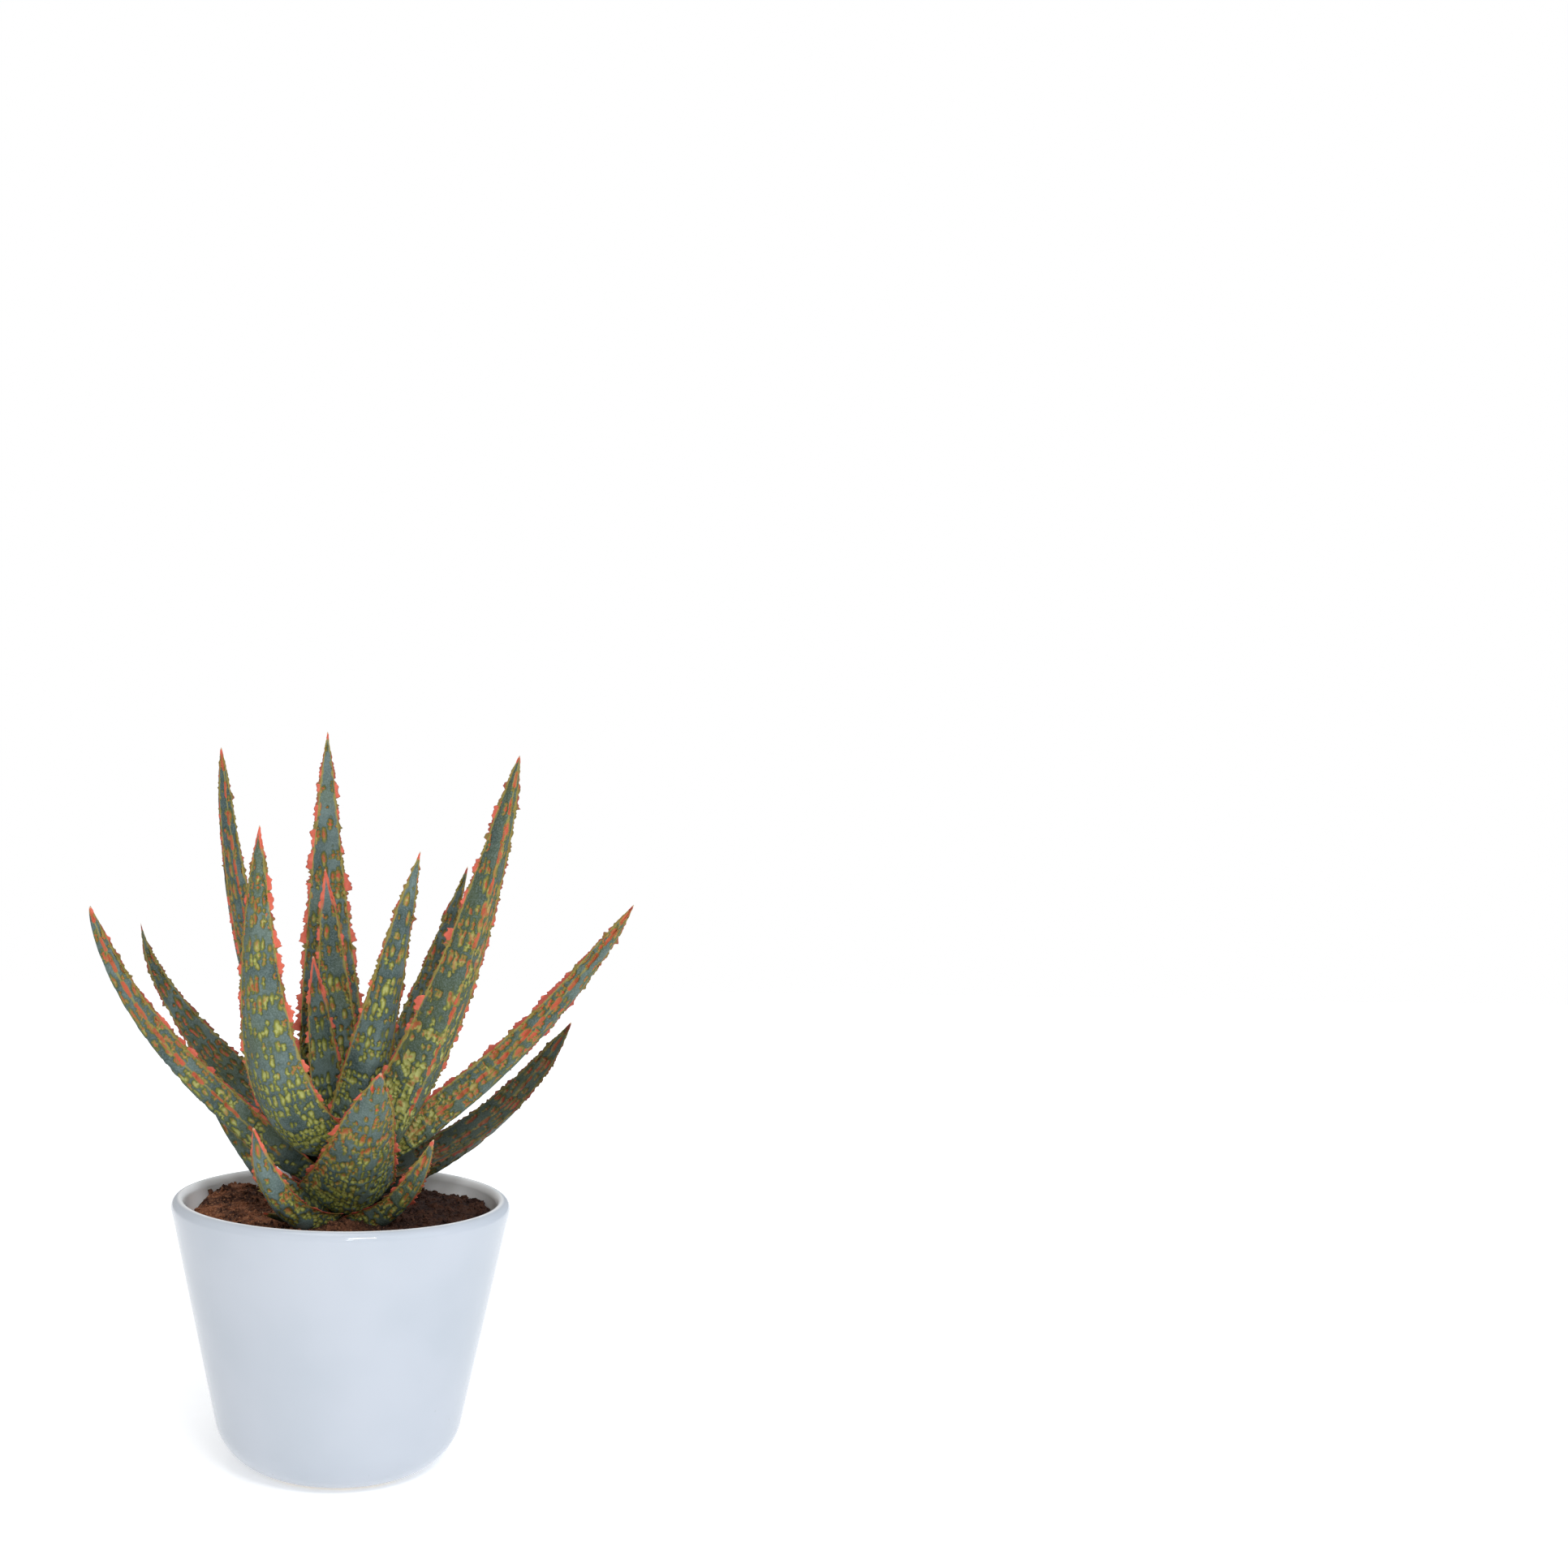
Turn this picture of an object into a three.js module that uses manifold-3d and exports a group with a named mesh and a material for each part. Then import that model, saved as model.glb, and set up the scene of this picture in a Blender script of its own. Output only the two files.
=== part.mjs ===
// A potted aloe with a toothed, warty-leaved rosette, in a tapered glazed ceramic pot.
// Millimetres, +Z up, +Y away from the viewer of the front.
// The origin is the middle of the pot's flat foot, on the surface it stands on.

import * as THREE from 'three';
import { mergeVertices } from 'three/addons/utils/BufferGeometryUtils.js';
import Module from 'manifold-3d';

const wasm = await Module();
wasm.setup();

// Pot
const POT_HEIGHT = 105;
const RIM_RADIUS = 65;
const FOOT_FLAT_RADIUS = 26;
const FOOT_ROUNDING = 22.5;
const FOOT_STEPS = 6;
const WALL = 5.2;
const POT_SIDES = 48;

// The lip curves down from its crown by LIP_DROP. Its inner curve takes CROWN_SHARE of the wall.
const LIP_DROP = 3.5;
const CROWN_SHARE = 0.4;
const LIP_OUTER_STEPS = 4;
const LIP_INNER_STEPS = 2;

// Soil
const SOIL_LEVEL = 97;
const SOIL_RINGS = 8;
const SOIL_FOOT_STEPS = 4;
const SOIL_EDGE_INSET = 0.5;

// The low mounds and dips of the soil: place, height and spread.
const SOIL_LUMPS = [
  { x: -43, y: 30, height: 5, spread: 10 },
  { x: -52, y: -4, height: -3, spread: 10 },
  { x: 22, y: 46, height: 1.5, spread: 10 },
  { x: 46, y: 14, height: 2, spread: 13 },
  { x: 32, y: -40, height: -2, spread: 13 },
  { x: -20, y: -45, height: 1, spread: 11 },
  { x: 0, y: 0, height: 2, spread: 20 },
];

// Stem: its outline from foot to top, as shares of its radius and of its height.
const STEM_FOOT = 84;
const STEM_TOP = 127;
const STEM_RADIUS = 8;
const STEM_SIDES = 20;
const STEM_OUTLINE = [
  { radius: 0.8, height: 0 },
  { radius: 1, height: 0.2 },
  { radius: 0.9, height: 0.6 },
  { radius: 0.65, height: 0.9 },
  { radius: 0.35, height: 0.98 },
];

// Neighbours that touch keep this gap.
const GAP = 0.3;

// Leaves: cross-sections stand closer together towards the foot of the leaf.
const LEAF_SECTIONS = 13;
const SECTION_SPACING = 1.15;

// A leaf starts this share of the stem's radius from its axis.
const LEAF_FOOT_SHARE = 0.5;

// A rolled leaf has turned its face to the side at this share of its length.
const ROLL_SHARE = 0.35;

// Each leaf clasps the stem with a narrower, thinner sheath along this share of its length.
const SHEATH_SHARE = 0.18;
const SHEATH_WIDTH = 0.6;
const SHEATH_THICKNESS = 0.55;

// The trough's depth as a share of the leaf's half width, at the tip, and how much deeper it is at the foot.
const TROUGH_DEPTH = 0.16;
const TROUGH_EXTRA = 0.2;

// The leaf's margins are this share of its thickness. A lower power makes a sharper keel.
const EDGE_SHARE = 0.08;
const KEEL_POWER = 1.5;

// Mesh points closer than this are one point.
const MERGE_DISTANCE = 1e-4;

// The leaves, from the heart of the rosette outwards, so that each one makes room for those before it.
// azimuth: the way the leaf leaves the stem, in degrees from +X towards +Y.
// height: where it leaves the stem. rise: its first slope, in degrees. reach: how far it keeps to that slope.
// width and thickness are at the widest place. taper: below 1 keeps the leaf broad for longer.
// twist turns the tip about the leaf's own length, in degrees. roll, where there is one, turns all of the leaf
// above its foot.
const LEAVES = [
  { name: 'leaf_heart', azimuth: 134, height: 125, rise: 71, reach: 25, tip: [-12, 0, 197],
    width: 21, thickness: 5, taper: 0.52, twist: -17 },
  { name: 'leaf_inner_back', azimuth: 98, height: 126, rise: 71, reach: 36, tip: [-8, 10, 230],
    width: 25, thickness: 6, taper: 0.6, twist: -2 },
  { name: 'leaf_right_front', azimuth: 306, height: 122, rise: 72, reach: 45, tip: [27, -20, 237],
    width: 24.5, thickness: 8, taper: 0.65, twist: 10, roll: -26 },
  { name: 'leaf_left_front', azimuth: 238, height: 125, rise: 7, reach: 62, tip: [-31, -30, 245],
    width: 40, thickness: 7, taper: 0.66, twist: 17, roll: -4 },
  { name: 'leaf_tall_centre', azimuth: 104, height: 122, rise: 60, reach: 60, tip: [-8, 36, 284],
    width: 38, thickness: 9, taper: 0.7, twist: 4 },
  { name: 'leaf_right_back', azimuth: 37, height: 120, rise: 51, reach: 46, tip: [48, 26, 232],
    width: 29, thickness: 8, taper: 0.6, twist: 4 },
  { name: 'leaf_tall_right', azimuth: 322, height: 116.5, rise: 44, reach: 63, tip: [62, -26, 272],
    width: 27, thickness: 11, taper: 0.51, twist: -14, roll: -33 },
  { name: 'leaf_tall_left', azimuth: 145.5, height: 117, rise: 51, reach: 78, tip: [-50, 38, 277],
    width: 23, thickness: 8, taper: 0.47, twist: -5 },
  { name: 'leaf_left_back', azimuth: 167, height: 115, rise: 38, reach: 92, tip: [-78, 10, 208],
    width: 26, thickness: 7, taper: 1, twist: -9, roll: -30 },
  { name: 'leaf_far_right', azimuth: 357, height: 117, rise: 29, reach: 72, tip: [106, -22, 219],
    width: 21, thickness: 8, taper: 0.52, twist: -31, roll: -39 },
  { name: 'leaf_short_front', azimuth: 281, height: 102.5, rise: 31, reach: 27, tip: [13, -56, 160],
    width: 42.5, thickness: 9, taper: 0.52, twist: 2.5 },
  { name: 'leaf_far_left', azimuth: 198, height: 111, rise: 33, reach: 91, tip: [-92, -22, 215],
    width: 17, thickness: 9, taper: 0.46, twist: -3, roll: 41 },
  { name: 'leaf_low_right', azimuth: 20, height: 107.5, rise: 12, reach: 64, tip: [89, 12, 172],
    width: 27, thickness: 8, taper: 0.54, twist: 25 },
  { name: 'leaf_short_front_right', azimuth: 309, height: 96, rise: 4, reach: 31, tip: [32, -52, 136],
    width: 17.5, thickness: 6, taper: 0.5, twist: -6, roll: -16 },
  { name: 'leaf_short_front_left', azimuth: 242, height: 98, rise: 3, reach: 49, tip: [-31, -54, 140],
    width: 20.5, thickness: 7, taper: 0.5, twist: 11 },
  { name: 'leaf_small_left', azimuth: 185, height: 97, rise: 9, reach: 20, tip: [-49, -10, 140],
    width: 30, thickness: 7, taper: 0.74, twist: -12, roll: 42 },
  { name: 'leaf_low_back_left', azimuth: 122, height: 103, rise: 20, reach: 50, tip: [-36, 72, 164],
    width: 32, thickness: 9, taper: 0.6, twist: 6 },
  { name: 'leaf_low_back_right', azimuth: 62, height: 100, rise: 16, reach: 50, tip: [30, 78, 158],
    width: 32, thickness: 9, taper: 0.6, twist: -6 },
  { name: 'leaf_basal_sprig', azimuth: 224, height: 98, rise: 3, reach: 24, tip: [-29, -31, 105],
    width: 14, thickness: 4, taper: 0.6, twist: 0 },
];

// The wall leans: a straight line from the tangent point of the foot's rounding to the lip.
const footCentre = new THREE.Vector2(FOOT_FLAT_RADIUS, FOOT_ROUNDING);
const lipOuter = new THREE.Vector2(RIM_RADIUS, POT_HEIGHT - LIP_DROP);
const toLip = lipOuter.clone().sub(footCentre);
const wallTurn = toLip.angle() - Math.acos(FOOT_ROUNDING / toLip.length());
const wallNormal = new THREE.Vector2(Math.cos(wallTurn), Math.sin(wallTurn));

// Points along the foot's rounding at a depth below the outer skin, from the floor up to the wall.
function footArc(depth, steps) {
  const radius = FOOT_ROUNDING - depth;
  const points = [];
  for (let i = 0; i <= steps; i++) {
    const angle = -Math.PI / 2 + (wallTurn + Math.PI / 2) * i / steps;
    points.push(new THREE.Vector2(
      footCentre.x + radius * Math.cos(angle), footCentre.y + radius * Math.sin(angle)));
  }
  return points;
}

// The radius of the wall at a height, at a depth below the outer skin.
function wallRadius(z, depth) {
  const lean = wallNormal.y / wallNormal.x;
  return lipOuter.x - depth / wallNormal.x + (lipOuter.y - z) * lean;
}

// A profile of radius and height, turned about the upright axis.
function turned(profile, sides) {
  return new THREE.LatheGeometry(profile, sides).rotateX(Math.PI / 2);
}

function potGeometry() {
  const lipInner = wallRadius(lipOuter.y, WALL);
  const crown = lipInner + (RIM_RADIUS - lipInner) * CROWN_SHARE;
  const lip = [];
  for (let i = 1; i <= LIP_OUTER_STEPS; i++) {
    const angle = Math.PI / 2 * i / LIP_OUTER_STEPS;
    lip.push(new THREE.Vector2(
      crown + (RIM_RADIUS - crown) * Math.cos(angle), lipOuter.y + LIP_DROP * Math.sin(angle)));
  }
  for (let i = 1; i <= LIP_INNER_STEPS; i++) {
    const angle = Math.PI / 2 * i / LIP_INNER_STEPS;
    lip.push(new THREE.Vector2(
      crown - (crown - lipInner) * Math.sin(angle), lipOuter.y + LIP_DROP * Math.cos(angle)));
  }
  const profile = [
    new THREE.Vector2(0, 0),
    ...footArc(0, FOOT_STEPS),
    lipOuter,
    ...lip,
    ...footArc(WALL, FOOT_STEPS - 1).reverse(),
    new THREE.Vector2(0, WALL),
  ];
  return turned(profile, POT_SIDES);
}

function soilHeight(x, y) {
  let z = SOIL_LEVEL;
  for (const lump of SOIL_LUMPS) {
    const distance = Math.hypot(x - lump.x, y - lump.y);
    z += lump.height * Math.exp(-0.5 * (distance / lump.spread) ** 2);
  }
  return z;
}

// Rings of equal counts, each wound the same way, closed by a fan at both ends.
function ringSolid(rings, start, end) {
  const count = rings[0].length;
  const positions = [];
  const index = [];
  for (const ring of rings) {
    for (const p of ring) positions.push(p.x, p.y, p.z);
  }
  const first = rings.length * count;
  positions.push(start.x, start.y, start.z, end.x, end.y, end.z);
  for (let i = 0; i < count; i++) {
    const next = (i + 1) % count;
    for (let r = 0; r + 1 < rings.length; r++) {
      const a = r * count;
      const b = a + count;
      index.push(a + i, a + next, b + next, a + i, b + next, b + i);
    }
    const last = (rings.length - 1) * count;
    index.push(first, next, i, first + 1, last + i, last + next);
  }
  const geometry = new THREE.BufferGeometry();
  geometry.setAttribute('position', new THREE.Float32BufferAttribute(positions, 3));
  geometry.setIndex(index);
  return geometry;
}

// A ring about the upright axis, whose height follows its place.
function circle(radius, heightAt) {
  const ring = [];
  for (let i = 0; i < POT_SIDES; i++) {
    const angle = 2 * Math.PI * i / POT_SIDES;
    const x = radius * Math.sin(angle);
    const y = radius * Math.cos(angle);
    ring.push(new THREE.Vector3(x, y, heightAt(x, y)));
  }
  return ring;
}

// The soil fills the pot, clear of its wall, with a lumpy top that stays below the rim.
function soilGeometry(clearance) {
  const inside = WALL + GAP;
  const top = (x, y) => soilHeight(x, y) + clearance;
  const rings = footArc(inside, SOIL_FOOT_STEPS).map(p => circle(p.x, () => p.y));
  const edge = wallRadius(SOIL_LEVEL, inside) - SOIL_EDGE_INSET;
  for (let i = 0; i < SOIL_RINGS; i++) rings.push(circle(edge * (1 - i / SOIL_RINGS), top));
  return ringSolid(rings, new THREE.Vector3(0, 0, inside), new THREE.Vector3(0, 0, top(0, 0)));
}

// A short fleshy stem, rooted in the soil and hidden by the leaf bases.
function stemGeometry(clearance) {
  const outline = STEM_OUTLINE.map(({ radius, height }) => new THREE.Vector2(
    STEM_RADIUS * radius + clearance,
    THREE.MathUtils.lerp(STEM_FOOT - clearance, STEM_TOP + clearance, height)));
  return turned([
    new THREE.Vector2(0, STEM_FOOT - clearance),
    ...outline,
    new THREE.Vector2(0, STEM_TOP + clearance),
  ], STEM_SIDES);
}

// A leaf's cross-section: a trough above, thin square-edged margins, and a keel below. Each point has its
// place across the leaf, from -1 to 1, and its depth below the trough as a share of the thickness.
const keelDepth = across => EDGE_SHARE + (1 - EDGE_SHARE) * (1 - Math.abs(across) ** KEEL_POWER);
const SECTION = [-1, -0.5, 0, 0.5, 1].map(across => ({ across, below: 0 }))
  .concat([1, 0.8, 0.4, 0, -0.4, -0.8, -1].map(across => ({ across, below: keelDepth(across) })));
const TROUGH_POINT = SECTION.findIndex(({ across, below }) => across === 0 && below === 0);
const KEEL_POINT = SECTION.findIndex(({ across, below }) => across === 0 && below === 1);

// A closed outline pushed outwards by a distance, with its corners kept sharp.
function outset(points, distance) {
  const normals = points.map((p, i) => {
    const edge = points[(i + 1) % points.length].clone().sub(p).normalize();
    return new THREE.Vector2(-edge.y, edge.x);
  });
  return points.map((p, i) => {
    const before = normals[(i + points.length - 1) % points.length];
    const corner = before.clone().add(normals[i]);
    return p.clone().addScaledVector(corner, distance / (1 + before.dot(normals[i])));
  });
}

// A leaf lofted along its midrib. With a clearance it is the room that its neighbours leave for it.
function leafGeometry(leaf, clearance = 0) {
  const azimuth = THREE.MathUtils.degToRad(leaf.azimuth);
  const rise = THREE.MathUtils.degToRad(leaf.rise);
  const outward = new THREE.Vector3(Math.cos(azimuth), Math.sin(azimuth), 0);
  const base = outward.clone().multiplyScalar(STEM_RADIUS * LEAF_FOOT_SHARE).setZ(leaf.height);
  const elbow = outward.clone().multiplyScalar(Math.cos(rise)).setZ(Math.sin(rise))
    .multiplyScalar(leaf.reach).add(base);
  const midrib = new THREE.QuadraticBezierCurve3(base, elbow, new THREE.Vector3(...leaf.tip));
  const sideways = new THREE.Vector3(-outward.y, outward.x, 0);
  const rings = [];
  for (let i = 0; i < LEAF_SECTIONS; i++) {
    const t = 1 - (1 - i / LEAF_SECTIONS) ** SECTION_SPACING;
    const centre = midrib.getPoint(t);
    const along = midrib.getTangent(t);
    const rolled = (leaf.roll ?? 0) * THREE.MathUtils.smoothstep(t, 0, ROLL_SHARE);
    const twist = THREE.MathUtils.degToRad(leaf.twist * t + rolled);
    const up = along.clone().cross(sideways).normalize().applyAxisAngle(along, twist);
    const side = up.clone().cross(along);
    const fade = (1 - t) ** leaf.taper;
    const opened = THREE.MathUtils.smoothstep(t, 0, SHEATH_SHARE);
    const half = leaf.width / 2 * fade * THREE.MathUtils.lerp(SHEATH_WIDTH, 1, opened);
    const thickness = leaf.thickness * fade * THREE.MathUtils.lerp(SHEATH_THICKNESS, 1, opened);
    const trough = half * (TROUGH_DEPTH + TROUGH_EXTRA * (1 - t) ** 3);
    const outline = SECTION.map(({ across, below }) =>
      new THREE.Vector2(across * half, trough * across ** 2 - thickness * below));
    rings.push(outset(outline, clearance).map(p =>
      centre.clone().addScaledVector(side, p.x).addScaledVector(up, p.y)));
  }
  const start = rings[0][TROUGH_POINT].clone().lerp(rings[0][KEEL_POINT], 0.5)
    .addScaledVector(midrib.getTangent(0), -clearance);
  const end = midrib.getPoint(1).addScaledVector(midrib.getTangent(1), 3 * clearance);
  return ringSolid(rings, start, end);
}

function asIndexed(geometry) {
  const bare = geometry.clone();
  bare.deleteAttribute('normal');
  bare.deleteAttribute('uv');
  return mergeVertices(bare, MERGE_DISTANCE);
}

// A solid from a closed mesh, turned right side out if its faces point inwards.
function solidFrom(geometry) {
  const merged = asIndexed(geometry);
  const build = () => new wasm.Manifold(new wasm.Mesh({
    numProp: 3,
    vertProperties: new Float32Array(merged.attributes.position.array),
    triVerts: new Uint32Array(merged.index.array),
  }));
  const solid = build();
  if (solid.volume() > 0) return solid;
  const order = merged.index.array;
  for (let i = 0; i < order.length; i += 3) [order[i + 1], order[i + 2]] = [order[i + 2], order[i + 1]];
  return build();
}

function geometryFrom(solid) {
  const mesh = solid.getMesh();
  const geometry = new THREE.BufferGeometry();
  geometry.setAttribute('position', new THREE.BufferAttribute(mesh.vertProperties, 3));
  geometry.setIndex(new THREE.BufferAttribute(mesh.triVerts, 1));
  return geometry;
}

// What a cut leaves of a leaf: its largest piece, without the crumbs beside it.
function largest(solid) {
  return solid.decompose().reduce((best, piece) => (piece.volume() > best.volume() ? piece : best));
}

function material(color, roughness) {
  return new THREE.MeshStandardMaterial({ color, roughness, metalness: 0 });
}

function meshOf(name, geometry, finish) {
  const mesh = new THREE.Mesh(geometry, finish);
  mesh.name = name;
  return mesh;
}

const glaze = material(0xdfe3ea, 0.15);
const peat = material(0x46281f, 0.95);
const stemSkin = material(0x6b6a45, 0.8);
const leafSkins = [material(0x52666c, 0.6), material(0x5c6f66, 0.6), material(0x4a5c5a, 0.6)];

const plant = new THREE.Group();
plant.add(meshOf('pot', potGeometry(), glaze));

const stemRoom = solidFrom(stemGeometry(GAP));
const soil = largest(solidFrom(soilGeometry(0)).subtract(stemRoom));
plant.add(meshOf('soil', geometryFrom(soil), peat));
plant.add(meshOf('stem', stemGeometry(0), stemSkin));

let taken = stemRoom.add(solidFrom(soilGeometry(GAP)));
LEAVES.forEach((leaf, i) => {
  const solid = largest(solidFrom(leafGeometry(leaf)).subtract(taken));
  taken = taken.add(solidFrom(leafGeometry(leaf, GAP)));
  plant.add(meshOf(leaf.name, geometryFrom(solid), leafSkins[i % leafSkins.length]));
});

export default plant;
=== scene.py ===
import math
import bpy
import numpy as np
from mathutils import Matrix, Vector


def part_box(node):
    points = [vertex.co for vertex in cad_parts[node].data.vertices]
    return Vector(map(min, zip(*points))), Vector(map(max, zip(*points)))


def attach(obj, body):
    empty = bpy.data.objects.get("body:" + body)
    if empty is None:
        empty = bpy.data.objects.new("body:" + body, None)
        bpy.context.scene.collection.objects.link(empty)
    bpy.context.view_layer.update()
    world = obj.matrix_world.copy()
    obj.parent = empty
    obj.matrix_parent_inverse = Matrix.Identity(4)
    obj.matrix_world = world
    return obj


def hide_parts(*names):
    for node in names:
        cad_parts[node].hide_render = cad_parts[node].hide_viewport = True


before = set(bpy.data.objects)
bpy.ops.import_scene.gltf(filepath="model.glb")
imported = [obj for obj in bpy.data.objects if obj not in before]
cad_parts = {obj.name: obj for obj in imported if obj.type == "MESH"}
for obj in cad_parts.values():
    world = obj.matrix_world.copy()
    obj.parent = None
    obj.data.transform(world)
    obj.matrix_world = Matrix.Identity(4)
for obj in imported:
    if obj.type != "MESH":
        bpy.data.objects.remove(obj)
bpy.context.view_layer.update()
mm = 0.001
print("frame loaded:", len(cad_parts), "nodes")


class Nodes:  # a node tree that is filled from Python
    def __init__(self, tree):
        self.tree = tree

    # settings are the node's own; each input takes a value, a wire or a list of wires
    def add(self, kind, settings=None, inputs=None, output=0):
        made = self.tree.nodes.new(kind)
        for name, value in (settings or {}).items():
            setattr(made, name, value)
        for key, value in (inputs or {}).items():
            for one in value if isinstance(value, list) else [value]:
                if isinstance(one, Wire):
                    self.tree.links.new(one.socket, made.inputs[key])
                else:
                    made.inputs[key].default_value = one
        return Wire(self, made.outputs[output]) if len(made.outputs) else None


class Wire:  # a node's output that stands in a Python expression; each operator adds a Math node
    def __init__(self, nodes, socket):
        self.nodes = nodes
        self.socket = socket

    def out(self, name):
        return Wire(self.nodes, self.socket.node.outputs[name])

    def do(self, operation, *values):
        return self.nodes.add("ShaderNodeMath", {"operation": operation}, dict(enumerate(values)))

    def __add__(self, other):
        return self.do("ADD", self, other)

    def __radd__(self, other):
        return self.do("ADD", other, self)

    def __sub__(self, other):
        return self.do("SUBTRACT", self, other)

    def __rsub__(self, other):
        return self.do("SUBTRACT", other, self)

    def __mul__(self, other):
        return self.do("MULTIPLY", self, other)

    def __rmul__(self, other):
        return self.do("MULTIPLY", other, self)

    def __truediv__(self, other):
        return self.do("DIVIDE", self, other)

    def __abs__(self):
        return self.do("ABSOLUTE", self)

    def __gt__(self, other):
        return self.do("GREATER_THAN", self, other)


def ramp(value, low, high):  # 0 at low, 1 at high, smooth in between; low may be the larger one
    return value.nodes.add("ShaderNodeMapRange", {"interpolation_type": "SMOOTHSTEP"},
                           {0: value, 1: low, 2: high, 3: 0.0, 4: 1.0})


def largest(first, *others):
    for other in others:
        first = first.do("MAXIMUM", first, other)
    return first


def blend(factor, low, high):  # a value that goes from low to high
    return factor.nodes.add("ShaderNodeMix", {"data_type": "FLOAT"}, {0: factor, 2: low, 3: high})


def tint(factor, under, over):  # a colour laid over another; 6, 7 and 2 are the node's colour sockets
    return factor.nodes.add("ShaderNodeMix", {"data_type": "RGBA"}, {0: factor, 6: under, 7: over}, 2)


def vector(nodes, x, y, z=0.0):
    return nodes.add("ShaderNodeCombineXYZ", None, {0: x, 1: y, 2: z})


def noise(place, scale, detail=2.0, roughness=0.5):
    return place.nodes.add("ShaderNodeTexNoise", None,
                           {"Vector": place, "Scale": scale, "Detail": detail, "Roughness": roughness})


def cells(place, randomness=1.0):  # a field of cells, one unit apart, along a line or over a plane
    if place.socket.type == "VECTOR":
        settings = {"voronoi_dimensions": "2D"}
        inputs = {"Vector": place, "Scale": 1.0, "Randomness": randomness}
    else:
        settings = {"voronoi_dimensions": "1D"}
        inputs = {"W": place, "Scale": 1.0, "Randomness": randomness}
    return place.nodes.add("ShaderNodeTexVoronoi", settings, inputs)


def split(wire):  # the three parts of a place or a colour, as wires; the first stands for X
    parts = wire.nodes.add("ShaderNodeSeparateXYZ", None, {0: wire})
    return parts, parts.out("Y"), parts.out("Z")


def scaled(wire, factor):  # a direction made longer or shorter
    return wire.nodes.add("ShaderNodeVectorMath", {"operation": "SCALE"}, {0: wire, "Scale": factor})


def attribute(nodes, name, kind="FLOAT"):  # reads a piece's own attribute, in geometry and in materials
    if nodes.tree.type == "GEOMETRY":
        return nodes.add("GeometryNodeInputNamedAttribute", {"data_type": kind}, {"Name": name})
    output = "Fac" if kind == "FLOAT" else "Vector"
    return nodes.add("ShaderNodeAttribute", {"attribute_name": name}, None, output)


def objectPlace(nodes):  # the place on the piece in metres
    return nodes.add("ShaderNodeTexCoord", None, None, "Object")


def lengthOf(wire):
    return wire.nodes.add("ShaderNodeVectorMath", {"operation": "LENGTH"}, {0: wire}, 1)


def bump(nodes, height, strength, distance):
    return nodes.add("ShaderNodeBump", None, {"Strength": strength, "Distance": distance, "Height": height})


def randomVector(nodes, low, high, seed):
    return nodes.add("FunctionNodeRandomValue", {"data_type": "FLOAT_VECTOR"},
                     {0: low, 1: high, "Seed": seed})


def randomShare(nodes, seed):  # 0 to 1
    return nodes.add("FunctionNodeRandomValue", {"data_type": "FLOAT"},
                     {2: 0.0, 3: 1.0, "Seed": seed}, 1)


def linear(red, green, blue):  # a colour given as on screen, 0 to 255
    def channel(value):
        share = value / 255
        return share / 12.92 if share <= 0.04045 else ((share + 0.055) / 1.055) ** 2.4
    return (channel(red), channel(green), channel(blue), 1.0)


def newMaterial(name, **fixed):  # fixed values go straight on the shader's own sockets
    material = bpy.data.materials.new(name)
    material.use_nodes = True
    shader = material.node_tree.nodes["Principled BSDF"]
    for label, value in fixed.items():
        shader.inputs[label.replace("_", " ")].default_value = value
    return material, Nodes(material.node_tree), shader


def feed(shader, name, wire):
    wire.nodes.tree.links.new(wire.socket, shader.inputs[name])


def newObject(name, data):
    made = bpy.data.objects.new(name, data)
    bpy.context.scene.collection.objects.link(made)
    return made


def meshFrom(name, points, faces, smooth=True):
    mesh = bpy.data.meshes.new(name)
    mesh.from_pydata([tuple(p) for p in points], [], [tuple(f) for f in faces])
    mesh.polygons.foreach_set("use_smooth", [smooth] * len(mesh.polygons))
    mesh.update()
    return mesh


def newTree(name, **inputs):  # a Geometry Nodes tree with named inputs, each a number or a kind of socket
    tree = bpy.data.node_groups.new(name, "GeometryNodeTree")
    tree.interface.new_socket("Geometry", in_out="INPUT", socket_type="NodeSocketGeometry")
    tree.interface.new_socket("Geometry", in_out="OUTPUT", socket_type="NodeSocketGeometry")
    for label, value in inputs.items():
        if isinstance(value, str):
            tree.interface.new_socket(label, in_out="INPUT", socket_type=value)
        else:
            kind = "NodeSocketInt" if isinstance(value, int) else "NodeSocketFloat"
            tree.interface.new_socket(label, in_out="INPUT", socket_type=kind).default_value = value
    nodes = Nodes(tree)
    return nodes, nodes.add("NodeGroupInput")


def endTree(geometry, material):  # every tree ends in Realize Instances and Set Material
    real = geometry.nodes.add("GeometryNodeRealizeInstances", None, {0: geometry})
    painted = geometry.nodes.add("GeometryNodeSetMaterial", None, {"Geometry": real, "Material": material})
    geometry.nodes.add("NodeGroupOutput", None, {0: painted})
    return geometry.nodes.tree


def grow(piece, tree, **values):  # runs a tree on a piece and keeps the result as its plain mesh
    modifier = piece.modifiers.new(tree.name, "NODES")
    modifier.node_group = tree
    for item in tree.interface.items_tree:
        if item.in_out == "INPUT" and item.name in values:
            modifier[item.identifier] = values[item.name]
    depsgraph = bpy.context.evaluated_depsgraph_get()
    mesh = bpy.data.meshes.new_from_object(piece.evaluated_get(depsgraph), preserve_all_data_layers=True,
                                           depsgraph=depsgraph)
    piece.modifiers.clear()
    piece.data = mesh
    mesh.name = piece.name


def fitPiece(piece, slot, *nodes):  # the finished piece rides on the one body and stands for its CAD nodes
    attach(piece, "root")
    if nodes:
        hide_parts(*nodes)


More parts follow.
